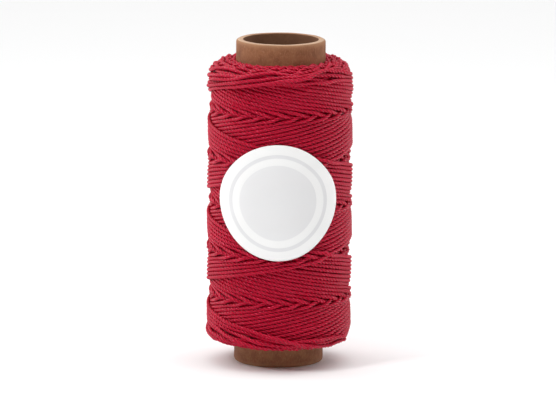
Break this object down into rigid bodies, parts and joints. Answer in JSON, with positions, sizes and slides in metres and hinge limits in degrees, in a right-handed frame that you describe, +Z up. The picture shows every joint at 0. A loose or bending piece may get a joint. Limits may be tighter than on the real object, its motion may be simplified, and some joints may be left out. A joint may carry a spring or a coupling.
{
  "type": "spool of cord",
  "caption": "Upright cardboard tube cross-wound with thin twisted cord between two bare tube ends, with a round blank label on the front.",
  "frame": {"origin": "middle of the tube's lower end, on the surface that the spool stands on", "axes": "+Z up along the tube's axis, the round label facing -Y, +X to the right seen from the front"},
  "size_m": [0.038, 0.0397, 0.084],
  "materials": {
    "cardboard": "matte",
    "cord": "satin",
    "paper": "satin"
  },
  "bodies": {
    "root": {"core_tube": "cardboard", "cord_winding": "cord", "front_label": "paper"}
  },
  "joints": []
}
